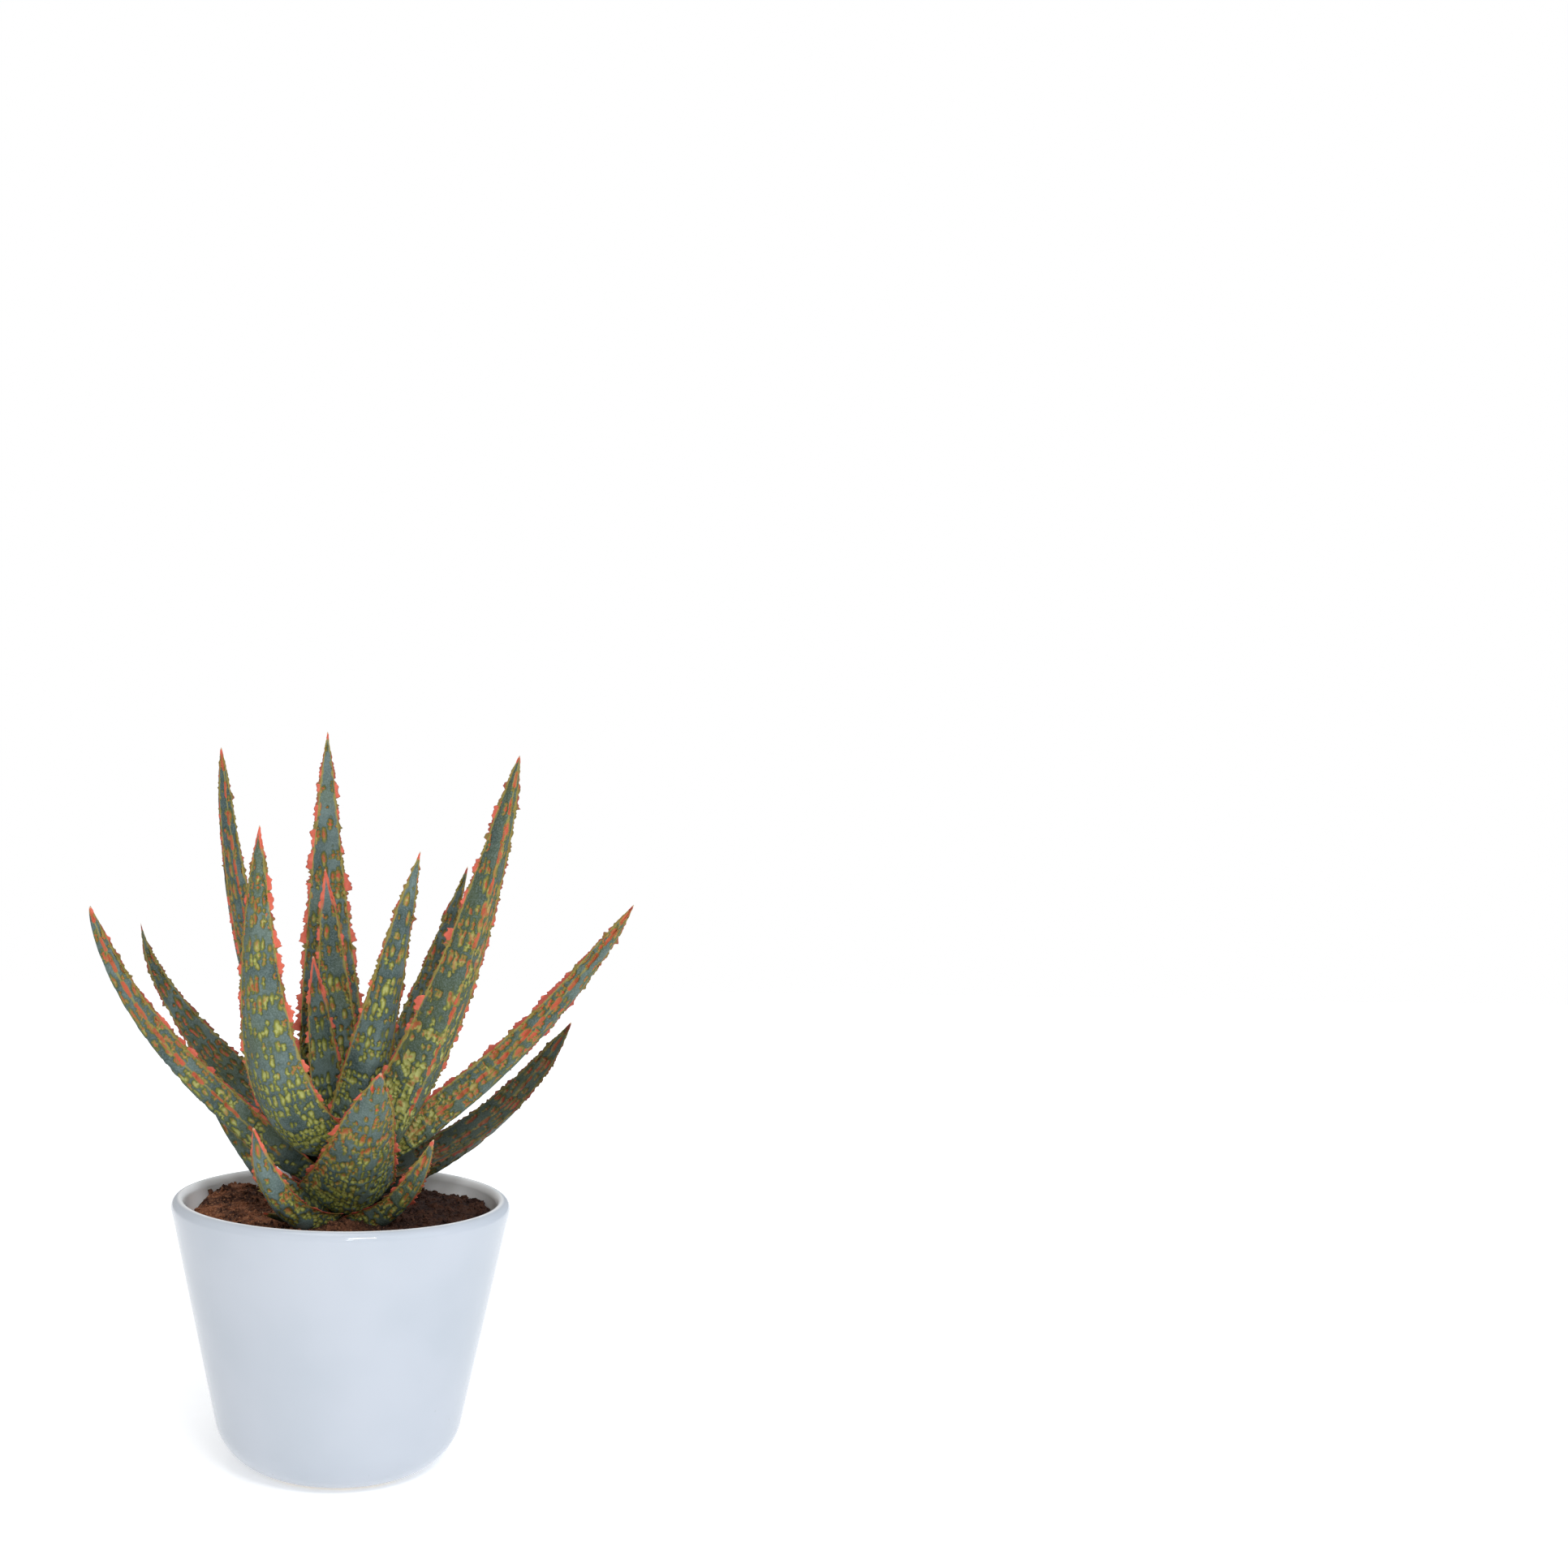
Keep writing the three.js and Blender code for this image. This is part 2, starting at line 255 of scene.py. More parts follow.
# The camera as found from the pot's outline, for an image of 1932 by 1932 pixels.
cameraView = {
    "place": (0.0, -600 * mm, 230 * mm),
    "pitch": 5.93, "yaw": 3.47, "roll": 1.13,  # degrees down, to the right and clockwise
    "focalPixels": 1945, "imagePixels": 1932, "sensor": 36.0,
    "shiftX": 0.22, "shiftY": 0.16,
}
cameraData = bpy.data.cameras.new("camera")
cameraData.sensor_width = cameraView["sensor"]
cameraData.lens = cameraView["focalPixels"] / cameraView["imagePixels"] * cameraView["sensor"]
cameraData.shift_x = cameraView["shiftX"]
cameraData.shift_y = cameraView["shiftY"]
camera = newObject("camera", cameraData)
camera.matrix_world = (Matrix.Translation(cameraView["place"])
                       @ Matrix.Rotation(math.radians(-cameraView["yaw"]), 4, "Z")
                       @ Matrix.Rotation(math.radians(90 - cameraView["pitch"]), 4, "X")
                       @ Matrix.Rotation(math.radians(cameraView["roll"]), 4, "Z"))
bpy.context.scene.camera = camera
print("camera placed")


# The leaf skin: warts, keel dashes and toothed margins, worked out alike for the shape and for the colours.
# Each wart layer has its cells in mm along and across, the wart's radius in cells, where on the leaf it lies
# from foot 0 to tip 1, the share of cells with a wart in crowded and in bare places, and a shift of its own.
wartLayers = [
    {"along": 2.5, "across": 2.2, "least": 0.28, "most": 0.38,
     "from": -0.2, "to": 0.30, "crowded": 0.95, "bare": 0.2, "shift": 3.7},
    {"along": 3.1, "across": 2.6, "least": 0.22, "most": 0.32,
     "from": -0.2, "to": 0.42, "crowded": 0.7, "bare": 0.15, "shift": 7.9},
    {"along": 4.9, "across": 2.5, "least": 0.26, "most": 0.36,
     "from": 0.10, "to": 0.72, "crowded": 0.9, "bare": 0.12, "shift": 11.3},
    {"along": 3.9, "across": 3.0, "least": 0.18, "most": 0.28,
     "from": 0.15, "to": 0.92, "crowded": 0.5, "bare": 0.20, "shift": 17.1},
    {"along": 7.2, "across": 2.8, "least": 0.24, "most": 0.34,
     "from": 0.42, "to": 1.3, "crowded": 0.85, "bare": 0.35, "shift": 23.9},
]
wartPattern = {  # in mm, but for shares
    "leafShift": 173, "faceShift": 71,  # so that two leaves, or a leaf's two faces, never have the same warts
    "wanderAlong": 2.6, "wanderAcross": 1.8, "bandAlong": 7.5, "bandAcross": 14, "bareBelow": 0.44,
    "crowdedAbove": 0.53, "size": 1.08, "beadLength": 1.7, "beadPinch": 0.22, "singleShare": 0.35,
}
leafSkin = {
    "wartHeight": 0.85 * mm, "keelHeight": 0.5 * mm, "margin": 0.25 * mm, "unevenness": 0.5 * mm,
    "toothLeast": 0.8 * mm, "toothMost": 3.1 * mm, "toothLength": 8.5 * mm, "swellLength": 2.6 * mm,
    "sawPitch": 1.5 * mm, "sawReach": 3.0 * mm, "roughLength": 3.2 * mm, "roughReach": 1.2 * mm,
    "dashLength": 10 * mm, "dashHalfWidth": 1.0 * mm,
    "strayLength": 4 * mm, "strayWidth": 2 * mm, "stray": 1.6 * mm,
}
leafFields = ("along", "girth", "face", "blade", "share", "toTip", "half", "seed", "keel", "keelAt", "teeth",
              "redness", "olive", "dark", "spots", "tipLength", "rimLength", "lobe", "reach")


def wartField(leaf):  # 0 away from the warts, 1 at a wart's edge, 2 at its middle
    nodes = leaf["along"].nodes
    along = leaf["along"] / mm + leaf["seed"] * wartPattern["leafShift"] \
        + leaf["face"] * wartPattern["faceShift"]
    across = leaf["girth"] / mm
    here = vector(nodes, along, across, leaf["seed"])
    x = along + (noise(here, 0.5, 2.0) - 0.5) * wartPattern["wanderAlong"]
    y = across + (noise(here, 0.27, 2.0) - 0.5) * wartPattern["wanderAcross"]
    turns = x * (2 * math.pi / wartPattern["beadLength"])
    beads = turns.do("SINE", turns)
    field = None
    for layer in wartLayers:
        cell = cells(vector(nodes, x / layer["along"] + layer["shift"], y / layer["across"]), 0.5)
        middleX, middleY, _ = split(cell.out("Position"))
        middleX = (middleX - layer["shift"]) * layer["along"]
        middleY = middleY * layer["across"]
        inBand = vector(nodes, middleX / wartPattern["bandAlong"], middleY / wartPattern["bandAcross"],
                        leaf["seed"])
        crowd = ramp(noise(inBand, 1.0, 2.0), wartPattern["bareBelow"], wartPattern["crowdedAbove"])
        chance, chanceSize, chain = split(cell.out("Color"))
        size = blend(chanceSize, layer["least"], layer["most"]) * wartPattern["size"]
        window = ramp(leaf["share"], layer["from"] - 0.1, layer["from"] + 0.1) \
            * ramp(leaf["share"], layer["to"] + 0.1, layer["to"] - 0.1)
        limit = (crowd * (layer["crowded"] - layer["bare"]) + layer["bare"]) * leaf["spots"]
        # a chain of beads is narrow between one bead and the next
        pinch = (1 - beads) * wartPattern["beadPinch"] * (chain > wartPattern["singleShare"])
        one = ramp(chance, limit + 0.02, limit - 0.02) * window * largest(2 - cell / size - pinch, 0.0)
        field = one if field is None else largest(field, one)
    return field * ramp(leaf["blade"], 0.3, 0.02)


def keelField(leaf):  # the dashes along the keel and the thin line that joins them, each 0 to 1
    place = vector(leaf["along"].nodes, leaf["along"] / leafSkin["strayLength"],
                   leaf["girth"] / leafSkin["strayWidth"], leaf["seed"])
    stray = noise(place, 1.0, 2.0) - 0.5
    fromKeel = abs(leaf["girth"] - leaf["keelAt"] * leaf["half"] + stray * leafSkin["stray"]) \
        / leafSkin["dashHalfWidth"]
    cell = cells(leaf["along"] / leafSkin["dashLength"] + leaf["seed"] * 1.7, 0.5)
    length, width, _ = split(cell.out("Color"))
    cell = cell + stray * 0.12
    dash = ramp(cell, 0.32 + length * 0.16, 0.16 + length * 0.16) * ramp(fromKeel, 0.7 + width * 0.6, 0.2)
    onKeel = leaf["keel"] * ramp(leaf["share"], 0.12, 0.3) * ramp(leaf["blade"], 0.1, 0.0)
    return dash * onKeel, ramp(fromKeel, 0.5, 0.2) * onKeel


def toothReach(leaf):  # how far the margin's lobes, and lobes and serration together, stand out, in metres
    side = leaf["girth"] > 0
    place = leaf["along"] + side * 0.31 + leaf["seed"] * 0.073  # so that no two margins are alike
    along = place / (leafSkin["toothLength"] * (0.5 + leaf["teeth"] * 0.6))
    cell = cells(along, 0.75)
    size, lean, cut = split(cell.out("Color"))
    before = along - cell.out("W")
    slope = blend(lean > 0.5, ramp(before, -0.5, 0.4), ramp(before, 0.5, -0.4))
    swell = noise(vector(place.nodes, place / leafSkin["swellLength"], side * 7, leaf["seed"] + 2), 1.0, 1.0)
    ends = ramp(before, -0.47, -0.38) * ramp(before, 0.47, 0.40 - cut * 0.2)
    big = ramp(leaf["share"], 1.05, 0.55) * 0.75 + 0.25
    most = ramp(size, 0.1, 0.95) * (leafSkin["toothMost"] - leafSkin["toothLeast"]) + leafSkin["toothLeast"]
    lobe = ends * (slope * 0.6 + ramp(swell, 0.3, 0.65) * 0.5) * big * most * leaf["teeth"] * (size > 0.12)
    saw = cells(place / leafSkin["sawPitch"], 0.9)
    tooth = split(saw.out("Color"))[0]
    rough = noise(vector(place.nodes, place / leafSkin["roughLength"], side, leaf["seed"]), 1.0, 2.0)
    fine = (0.5 - saw) * leafSkin["sawReach"] * (0.35 + tooth * 0.65) * (0.7 - ends * 0.25)
    return lobe, lobe + fine + ramp(rough, 0.45, 0.62) * leafSkin["roughReach"] * (1 - ends * 0.6)


def buildSkinTree():
    nodes, entry = newTree("leafSkin", wartHeight=leafSkin["wartHeight"], keelHeight=leafSkin["keelHeight"],
                           margin=leafSkin["margin"], unevenness=leafSkin["unevenness"],
                           material="NodeSocketMaterial")
    leaf = {name: attribute(nodes, name) for name in leafFields if name not in ("lobe", "reach")}
    dash, _ = keelField(leaf)
    lobe, teeth = toothReach(leaf)
    reach = (entry.out("margin") + largest(teeth, 0.0)) * (ramp(leaf["toTip"], 1 * mm, 16 * mm) * 0.8 + 0.2)
    foot = ramp(leaf["share"], 0.0, 0.06)
    soft = noise(nodes.add("GeometryNodeInputPosition"), 1 / (9 * mm), 2.0)
    onFace = ramp(leaf["blade"], 0.1, 0.0) * ramp(leaf["toTip"], 1 * mm, 6 * mm)
    lift = ramp(wartField(leaf), 0.4, 1.7) * entry.out("wartHeight") * foot \
        + ramp(dash, 0.1, 0.7) * entry.out("keelHeight") + (soft - 0.5) * entry.out("unevenness")
    up = scaled(nodes.add("GeometryNodeInputNormal"), lift * onFace)
    out = scaled(attribute(nodes, "outward", "FLOAT_VECTOR"), reach * leaf["blade"] * foot)
    offset = nodes.add("ShaderNodeVectorMath", {"operation": "ADD"}, {0: up, 1: out})
    skin = nodes.add("GeometryNodeSetPosition", None, {"Geometry": entry, "Offset": offset})
    for name, value in (("lobe", lobe), ("reach", reach)):  # kept for the colours
        skin = nodes.add("GeometryNodeStoreNamedAttribute", {"data_type": "FLOAT", "domain": "POINT"},
                         {"Geometry": skin, "Name": name, "Value": value})
    return endTree(skin, entry.out("material"))


# ring is painted shade, a dark ring round each wart at the foot of its relief; shade is painted shade for
# leaves that lie in shade.
leafPaint = {
    "slateDark": linear(52, 70, 66), "slate": linear(94, 112, 108), "slateGreen": linear(78, 92, 58),
    "mossy": linear(56, 70, 36), "ring": linear(46, 60, 40), "halo": linear(96, 102, 46),
    "rim": linear(138, 140, 60), "rimRed": linear(142, 120, 56), "yellowGreen": linear(168, 170, 100),
    "orange": linear(168, 92, 54), "coral": linear(196, 80, 56), "coralPale": linear(224, 116, 92),
    "marginLine": linear(150, 136, 62), "lobeOlive": linear(124, 106, 48), "lobeRed": linear(158, 66, 52),
    "dry": linear(205, 172, 135), "shade": linear(32, 38, 24), "bloom": linear(146, 164, 164),
}
leafGrain = {"cloud": 14 * mm, "greener": 23 * mm, "blotch": 3.5 * mm, "grain": 0.6 * mm}  # patch sizes


def buildLeafMaterial():
    material, nodes, shader = newMaterial("warty_leaf", Specular_IOR_Level=0.35)
    leaf = {name: attribute(nodes, name) for name in leafFields}
    field = wartField(leaf)
    dash, keelLine = keelField(leaf)
    where = objectPlace(nodes)
    cloud = noise(where, 1 / leafGrain["cloud"], 3.0)
    grain = noise(where, 1 / leafGrain["grain"], 2.0)
    blotch = noise(where, 1 / leafGrain["blotch"], 2.0)
    edge = ramp(abs(leaf["girth"]) / leaf["half"], 0.6, 1.0)
    red = ramp(leaf["share"] * 0.75 + edge * 0.3 + (blotch - 0.5) * 1.3 + leaf["redness"], 0.34, 0.62)

    color = tint(ramp(cloud, 0.3, 0.7), leafPaint["slateDark"], leafPaint["slate"])
    greener = noise(where, 1 / leafGrain["greener"], 1.0)
    color = tint(ramp(greener, 0.5, 0.7) * 0.6, color, leafPaint["slateGreen"])
    color = tint(leaf["olive"] * 0.75 * ramp(cloud, 0.25, 0.6), color, leafPaint["mossy"])
    color = tint((grain - 0.5) * 0.9 + 0.08, color, leafPaint["bloom"])

    olivePlace = vector(nodes, leaf["along"] / (10 * mm), leaf["girth"] / (5 * mm), leaf["seed"] + 9)
    field = field + leaf["olive"] * ramp(noise(olivePlace, 1.0, 3.0), 0.5, 0.62) * 0.7
    # painted shade: a dark ring round each wart, at the foot of its relief
    color = tint(ramp(field, 0.2, 0.7) * 0.35, color, leafPaint["ring"])
    color = tint(ramp(field, 0.6, 0.9), color, leafPaint["halo"])
    color = tint(ramp(field, 0.85, 1.2), color, tint(red, leafPaint["rim"], leafPaint["rimRed"]))
    middle = tint(red, leafPaint["yellowGreen"], leafPaint["orange"])
    coralPlace = vector(nodes, leaf["along"] / (6 * mm), leaf["girth"] / (3 * mm), leaf["seed"] + 4)
    scarlet = red * leaf["share"] + leaf["redness"] + noise(coralPlace, 1.0, 1.0)
    middle = tint(ramp(scarlet, 1.25, 1.55), middle, leafPaint["coral"])
    color = tint(ramp(field + (grain - 0.5) * 0.5, 1.15, 1.6), color, middle)
    color = tint(keelLine * 0.7, color, leafPaint["marginLine"])
    color = tint(ramp(dash, 0.05, 0.25), color, leafPaint["rimRed"])
    dashColor = tint(ramp(blotch, 0.3, 0.8), leafPaint["orange"], leafPaint["coral"])
    color = tint(ramp(dash + (blotch - 0.5) * 0.3, 0.25, 0.6), color, dashColor)

    # the margin: an olive line, then lobes and serration
    inside = (leaf["half"] - abs(leaf["girth"])) / mm
    color = tint(ramp(inside + (blotch - 0.5) * 2.4, 0.7, 0.0) * 0.8, color, leafPaint["marginLine"])
    out = leaf["blade"] * leaf["reach"] / mm
    warm = noise(vector(nodes, leaf["along"] / (7 * mm), (leaf["girth"] > 0) * 9, leaf["seed"] + 3), 1.0, 1.0)
    coral = tint(blotch, leafPaint["coral"], leafPaint["coralPale"])
    coral = tint(ramp(blotch - leaf["redness"] * 0.4, 0.55, 0.4) * ramp(leaf["redness"], 0.0, 0.4), coral,
                 leafPaint["lobeRed"])
    brown = tint(ramp(warm + (blotch - 0.5) * 0.8, 0.4, 0.6), leafPaint["lobeOlive"], leafPaint["lobeRed"])
    bumps = tint(ramp(out - leaf["reach"] / mm, -1.0, -0.5), leafPaint["lobeOlive"], brown)
    nearTip = ramp(leaf["toTip"], leaf["rimLength"] * 1.2, leaf["rimLength"] * 0.8)
    lobes = tint(largest(ramp(leaf["lobe"] / mm + (warm - 0.5) * 1.2, 0.45, 0.8), nearTip), bumps, coral)
    color = tint(nearTip * ramp(inside, 1.0, 0.5), color, coral)
    color = tint(ramp(leaf["blade"], 0.0, 0.1) * (1 - nearTip), color, leafPaint["marginLine"])
    color = tint(ramp(out, 0.1, 0.35), color, lobes)
    # painted shade: each leaf is darkened towards the shade colour by its own share; a share below 0 lightens
    # it
    color = tint(leaf["dark"] * 0.75, color, leafPaint["shade"])
    tipLength = leaf["tipLength"] / mm
    fromTip = leaf["toTip"] / mm + (blotch - 0.5) * 5 + (1 - edge) * 1.5
    color = tint(ramp(fromTip, tipLength + 0.6, tipLength - 0.6), color, coral)
    color = tint(ramp(leaf["toTip"], 1.2 * mm, 0.4 * mm), color, leafPaint["dry"])
    feed(shader, "Base Color", color)
    feed(shader, "Roughness", 0.6 - ramp(field, 0.9, 1.5) * 0.14 + (grain - 0.5) * 0.25)
    relief = ramp(field, 0.4, 1.8) * 1.4 + grain * 0.7 + ramp(leaf["blade"], 0.0, 0.2) * 0.6
    feed(shader, "Normal", bump(nodes, relief, 0.6, 0.3 * mm))
    return material


skinTree = buildSkinTree()
leafMaterial = buildLeafMaterial()
print("leaf skin ready")


# The leaves, from the heart outwards: the solid leaves' sizes in mm and degrees, with a rounder keel.
leafShape = {
    "stemRadius": 8, "footShare": 0.5,
    "sheathShare": 0.18, "sheathWidth": 0.6, "sheathThickness": 0.55,
    "troughDepth": 0.16, "troughExtra": 0.2, "edgeShare": 0.08, "keelPower": 1.8,
    "rollShare": 0.35, "spine": 20.0, "spinePower": 0.3,
    "inset": 0.4, "insetPerTooth": 0.45, "insetFrom": 5,  # less inset where half the leaf is under insetFrom
    "stepAlong": 0.6, "stepAcross": 0.75, "bladeSteps": 4, "bladeEdge": 0.3, "curveSteps": 400,
}
leafLook = {  # what a leaf has unless it says otherwise; teeth is how large the lobes are on the two margins
    "roll": 0, "teeth": (0.6, 0.6), "keel": 0.0, "keelAt": 0.0, "redness": 0.0, "olive": 0.0, "dark": 0.0,
    "spots": 1.0, "tipLength": 2.0 * mm, "rimLength": 3 * mm,
}
# A leaf's darkening towards the shade colour is painted shade, for leaves that lie in the shade of others; a
# negative one lightens the leaf.
leaves = {
    "heart": dict(azimuth=134, height=125, rise=71, reach=25, tip=(-12, 0, 197),
                  width=21, thickness=5, taper=0.52, twist=-17,
                  dark=0.1, spots=0.6, rimLength=18 * mm, teeth=(0.5, 0.5)),
    "inner_back": dict(azimuth=98, height=126, rise=71, reach=36, tip=(-8, 10, 230),
                       width=25, thickness=6, taper=0.6, twist=-2,
                       redness=0.1, rimLength=14 * mm, dark=0.05),
    "right_front": dict(azimuth=306, height=122, rise=72, reach=45, tip=(27, -20, 237),
                        width=24.5, thickness=8, taper=0.65, twist=10, roll=-26,
                        teeth=(0.4, 0.25)),
    "left_front": dict(azimuth=238, height=125, rise=7, reach=62, tip=(-31, -30, 245),
                       width=40, thickness=7, taper=0.66, twist=17, roll=-4,
                       teeth=(0.45, 1.05), tipLength=4.5 * mm, rimLength=9 * mm, dark=0.06),
    "tall_centre": dict(azimuth=104, height=122, rise=60, reach=60, tip=(-8, 36, 284),
                        width=38, thickness=9, taper=0.7, twist=4,
                        teeth=(1.0, 1.0), redness=0.12, dark=0.12),
    "right_back": dict(azimuth=37, height=120, rise=51, reach=46, tip=(48, 26, 232),
                       width=29, thickness=8, taper=0.6, twist=4,
                       dark=0.3, redness=0.25, teeth=(0.8, 0.8)),
    "tall_right": dict(azimuth=322, height=116.5, rise=44, reach=63, tip=(62, -26, 272),
                       width=27, thickness=11, taper=0.51, twist=-14, roll=-33, keel=1.0, keelAt=0.12,
                       olive=1.0, redness=0.12, teeth=(1.0, 0.45), dark=0.12),
    "tall_left": dict(azimuth=145.5, height=117, rise=51, reach=78, tip=(-50, 38, 277),
                      width=23, thickness=8, taper=0.47, twist=-5, keel=1.0, keelAt=-0.3,
                      redness=0.15, teeth=(0.45, 0.45), dark=0.15),
    "left_back": dict(azimuth=167, height=115, rise=38, reach=92, tip=(-78, 10, 208),
                      width=26, thickness=7, taper=1, twist=-9, roll=-30,
                      dark=0.5, redness=0.35, teeth=(0.5, 0.5)),
    "far_right": dict(azimuth=357, height=117, rise=29, reach=72, tip=(106, -22, 219),
                      width=21, thickness=8, taper=0.52, twist=-31, roll=-39, keel=1.0, keelAt=-0.45,
                      redness=0.3, olive=0.4, spots=1.3, teeth=(0.9, 0.45), dark=0.12),
    "short_front": dict(azimuth=281, height=102.5, rise=31, reach=27, tip=(13, -56, 160),
                        width=42.5, thickness=9, taper=0.52, twist=2.5,
                        redness=0.1, spots=1.7, olive=0.15, teeth=(0.75, 0.75)),
    "far_left": dict(azimuth=198, height=111, rise=33, reach=91, tip=(-92, -22, 215),
                     width=17, thickness=9, taper=0.46, twist=-3, roll=41, keel=1.0, keelAt=0.5,
                     redness=0.1, spots=1.4, olive=0.2, teeth=(0.5, 0.6), dark=0.16),
    "low_right": dict(azimuth=20, height=107.5, rise=12, reach=64, tip=(89, 12, 172),
                      width=27, thickness=8, taper=0.54, twist=25, keel=1.0, keelAt=0.1,
                      dark=0.75, olive=0.5, redness=0.4, teeth=(0.4, 0.5)),
    "short_front_right": dict(azimuth=309, height=96, rise=4, reach=31, tip=(32, -52, 136),
                              width=17.5, thickness=6, taper=0.5, twist=-6, roll=-16,
                              olive=0.5, redness=0.1, teeth=(0.5, 0.7)),
    "short_front_left": dict(azimuth=242, height=98, rise=3, reach=49, tip=(-31, -54, 140),
                             width=20.5, thickness=7, taper=0.5, twist=11,
                             rimLength=10 * mm, teeth=(0.35, 0.6)),
    "small_left": dict(azimuth=185, height=97, rise=9, reach=20, tip=(-49, -10, 140),
                       width=30, thickness=7, taper=0.74, twist=-12, roll=42,
                       dark=0.2, teeth=(0.4, 0.4)),
    "low_back_left": dict(azimuth=122, height=103, rise=20, reach=50, tip=(-36, 72, 164),
                          width=32, thickness=9, taper=0.6, twist=6, redness=0.1),
    "low_back_right": dict(azimuth=62, height=100, rise=16, reach=50, tip=(30, 78, 158),
                           width=32, thickness=9, taper=0.6, twist=-6, redness=0.2),
    "basal_sprig": dict(azimuth=224, height=98, rise=3, reach=24, tip=(-29, -31, 105),
                        width=14, thickness=4, taper=0.6, twist=0,
                        spots=0.0, olive=1.3, dark=-0.25, teeth=(0.2, 0.2)),
}


def smooth(value, low, high):
    share = np.clip((value - low) / (high - low), 0, 1)
    return share * share * (3 - 2 * share)


def rotated(vectors, axes, angles):  # each vector turned about its own axis
    cosine = np.cos(angles)[:, None]
    sine = np.sin(angles)[:, None]
    along = (vectors * axes).sum(1)[:, None]
    return vectors * cosine + np.cross(axes, vectors) * sine + axes * along * (1 - cosine)


def unit(vectors):
    return vectors / np.linalg.norm(vectors, axis=1)[:, None]


def leafSection(width):  # the columns round a leaf: place across, place out along the blade, and face
    count = max(10, round(width / leafShape["stepAcross"]))
    across = np.linspace(-1, 1, count + 1)
    still = np.zeros(count + 1)
    blade = np.arange(1, leafShape["bladeSteps"] + 1) / leafShape["bladeSteps"]
    back = blade[-2::-1]
    columns = [(across, still, 1.0), (0 * blade + 1, blade, 1.0), (0 * back + 1, back, -1.0),
               (across[::-1], still, -1.0), (0 * blade - 1, blade, -1.0), (0 * back - 1, back, 1.0)]
    return (np.concatenate([c[0] for c in columns]), np.concatenate([c[1] for c in columns]),
            np.concatenate([np.full(len(c[0]), c[2]) for c in columns]))


def leafMesh(name, leaf, seed):
    azimuth = math.radians(leaf["azimuth"])
    rise = math.radians(leaf["rise"])
    outward = np.array([math.cos(azimuth), math.sin(azimuth), 0.0])
    base = outward * leafShape["stemRadius"] * leafShape["footShare"] + [0, 0, leaf["height"]]
    elbow = base + leaf["reach"] * (outward * math.cos(rise) + np.array([0, 0, math.sin(rise)]))
    tip = np.array(leaf["tip"], float)

    def curve(t):
        t = np.asarray(t)[:, None]
        return (1 - t) ** 2 * base + 2 * t * (1 - t) * elbow + t ** 2 * tip

    fine = np.linspace(0, 1, leafShape["curveSteps"] + 1)
    lengths = np.concatenate([[0], np.cumsum(np.linalg.norm(np.diff(curve(fine), axis=0), axis=1))])
    length = lengths[-1]
    count = round(length / leafShape["stepAlong"])
    along = length * np.arange(count) / count
    t = np.interp(along, lengths, fine)
    centre = curve(t)
    axis = unit(2 * (1 - t)[:, None] * (elbow - base) + 2 * t[:, None] * (tip - elbow))
    sideways = np.tile([-outward[1], outward[0], 0.0], (count, 1))
    turn = leaf["twist"] * t + leaf["roll"] * smooth(t, 0, leafShape["rollShare"])
    up = rotated(unit(np.cross(axis, sideways)), axis, np.radians(turn))
    side = np.cross(up, axis)
    fade = (1 - t) ** leaf["taper"]
    opened = smooth(t, 0, leafShape["sheathShare"])
    half = leaf["width"] / 2 * fade * (leafShape["sheathWidth"] + (1 - leafShape["sheathWidth"]) * opened)
    # the solid leaf's outline takes in part of the lobes, so the face between them is narrower
    inset = leafShape["inset"] + leafShape["insetPerTooth"] * sum(leaf["teeth"])
    half = half - inset * np.minimum(1, half / leafShape["insetFrom"])
    half = half * np.minimum(1, (length - along) / leafShape["spine"]) ** leafShape["spinePower"]
    thin = leafShape["sheathThickness"]
    thickness = leaf["thickness"] * fade * (thin + (1 - thin) * opened)
    trough = half * (leafShape["troughDepth"] + leafShape["troughExtra"] * (1 - t) ** 3)

    across, blade, face = leafSection(leaf["width"])
    edgeShare = leafShape["edgeShare"]
    belly = edgeShare + (1 - edgeShare) * (1 - np.abs(across) ** leafShape["keelPower"])
    depth = thickness[:, None] * np.where(face > 0, 0, belly)
    middle = thickness[:, None] * edgeShare * 0.5  # the blade thins towards its edge
    depth = np.where(blade > 0, middle + (depth - middle) * (1 - blade * (1 - leafShape["bladeEdge"])), depth)
    x = across * half[:, None]
    y = trough[:, None] * across ** 2 - depth
    points = centre[:, None, :] + x[..., None] * side[:, None, :] + y[..., None] * up[:, None, :]
    columns = len(across)

    girth = np.zeros((count, columns))  # place round the face from its middle line
    halfGirth = np.zeros((count, columns))
    for sign in (1, -1):
        found = np.where((blade == 0) & (face == sign))[0]
        steps = np.hypot(np.diff(x[:, found], axis=1), np.diff(y[:, found], axis=1))
        total = np.concatenate([np.zeros((count, 1)), np.cumsum(steps, axis=1)], axis=1)
        girth[:, found] = (total - total[:, -1:] / 2) * sign
        halfGirth[:, face == sign] = total[:, -1:] / 2
    girth = np.where(blade > 0, np.sign(across) * halfGirth, girth)

    onMiddle = (blade == 0) & (np.abs(across) < 1 / leaf["width"])
    middles = [np.where(onMiddle & (face == sign))[0][0] for sign in (1, -1)]
    start = (points[0, middles[0]] + points[0, middles[1]]) / 2
    vertices = np.concatenate([points.reshape(-1, 3), [start, tip]]) * mm
    ring = np.arange(columns)
    following = (ring + 1) % columns
    rows = np.arange(count - 1)[:, None] * columns
    nextRows = rows + columns
    quads = np.stack([rows + ring, rows + following, nextRows + following, nextRows + ring], axis=2)
    first = count * columns
    last = (count - 1) * columns
    faces = quads.reshape(-1, 4).tolist()
    faces += [(first, following[i], ring[i]) for i in ring]
    faces += [(first + 1, last + ring[i], last + following[i]) for i in ring]
    mesh = meshFrom(name, vertices, faces)

